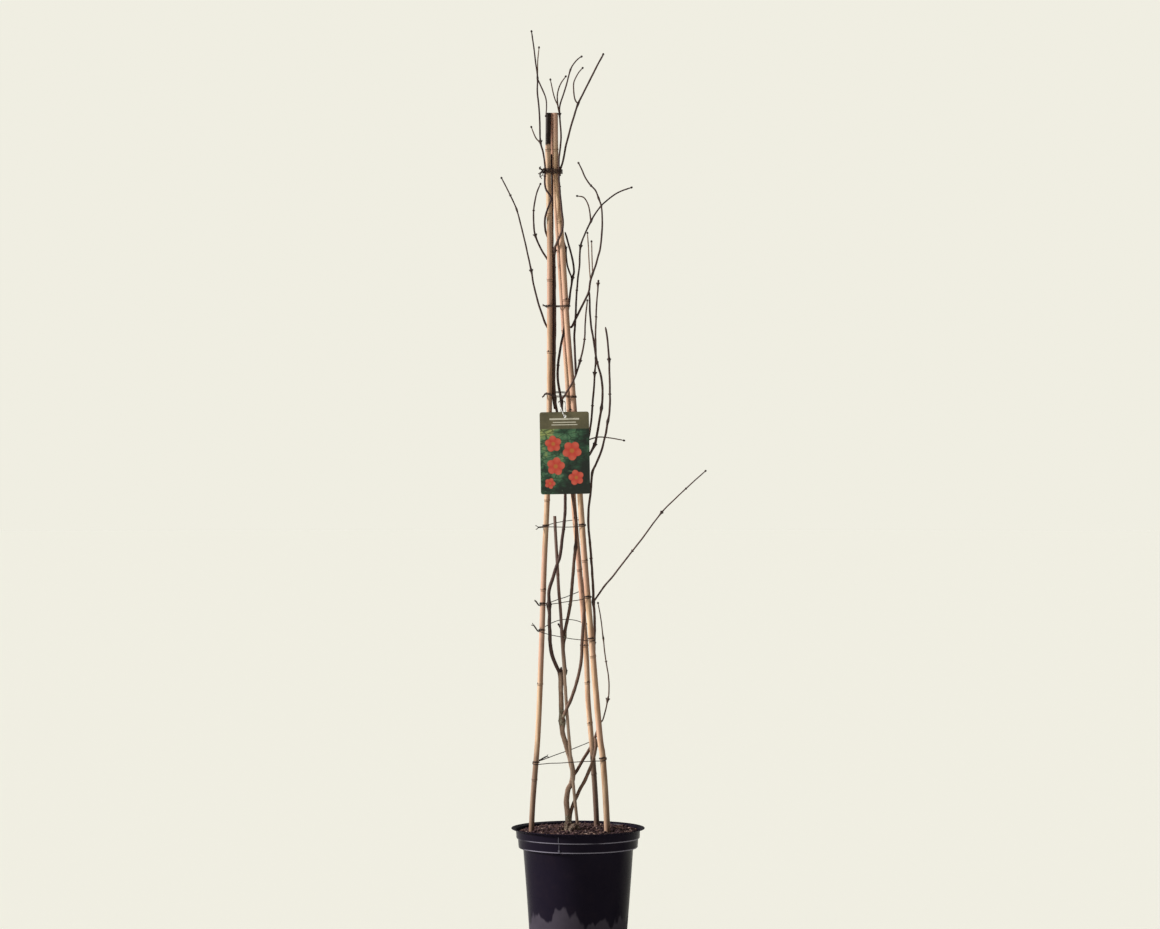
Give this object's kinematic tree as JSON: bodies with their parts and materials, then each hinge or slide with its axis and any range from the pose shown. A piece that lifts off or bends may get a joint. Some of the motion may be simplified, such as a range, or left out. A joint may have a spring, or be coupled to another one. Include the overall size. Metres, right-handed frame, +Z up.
{
  "type": "potted trumpet vine",
  "caption": "Leafless climbing trumpet vine in a black nursery pot, its bare shoots tied with wire to a tripod of bamboo canes, with a hanging picture label.",
  "frame": {"origin": "centre of the pot's underside, on the surface that it stands on", "axes": "+Z up along the canes, +X to the right as seen from the front, -Y towards the viewer and the label's face"},
  "size_m": [0.3739, 0.2444, 1.6872],
  "materials": {
    "pot_plastic": "thin black polypropylene, semi-gloss",
    "peat_soil": "dark moist peat with fibres, matt",
    "bamboo": "dried honey-tan bamboo, satin, with node rings",
    "bamboo_shaded": "weathered tan bamboo, satin",
    "stake_bamboo": "grey-brown weathered thin cane, matt",
    "bark": "dark brown to grey-tan bark with lichen, matt",
    "tie_wire": "thin dark coated wire",
    "label_card": "thin printed plastic card",
    "strap_plastic": "thin white plastic loop"
  },
  "bodies": {
    "root": {"pot": "pot_plastic", "soil": "peat_soil", "cane_left": "bamboo", "cane_right": "bamboo", "cane_back": "bamboo_shaded", "stake": "stake_bamboo", "vine": "bark", "tie_1": "tie_wire", "tie_2": "tie_wire", "tie_3": "tie_wire", "tie_4": "tie_wire", "tie_5": "tie_wire", "tie_6": "tie_wire", "tie_7": "tie_wire", "label": "label_card", "label_strap": "strap_plastic"}
  },
  "joints": []
}
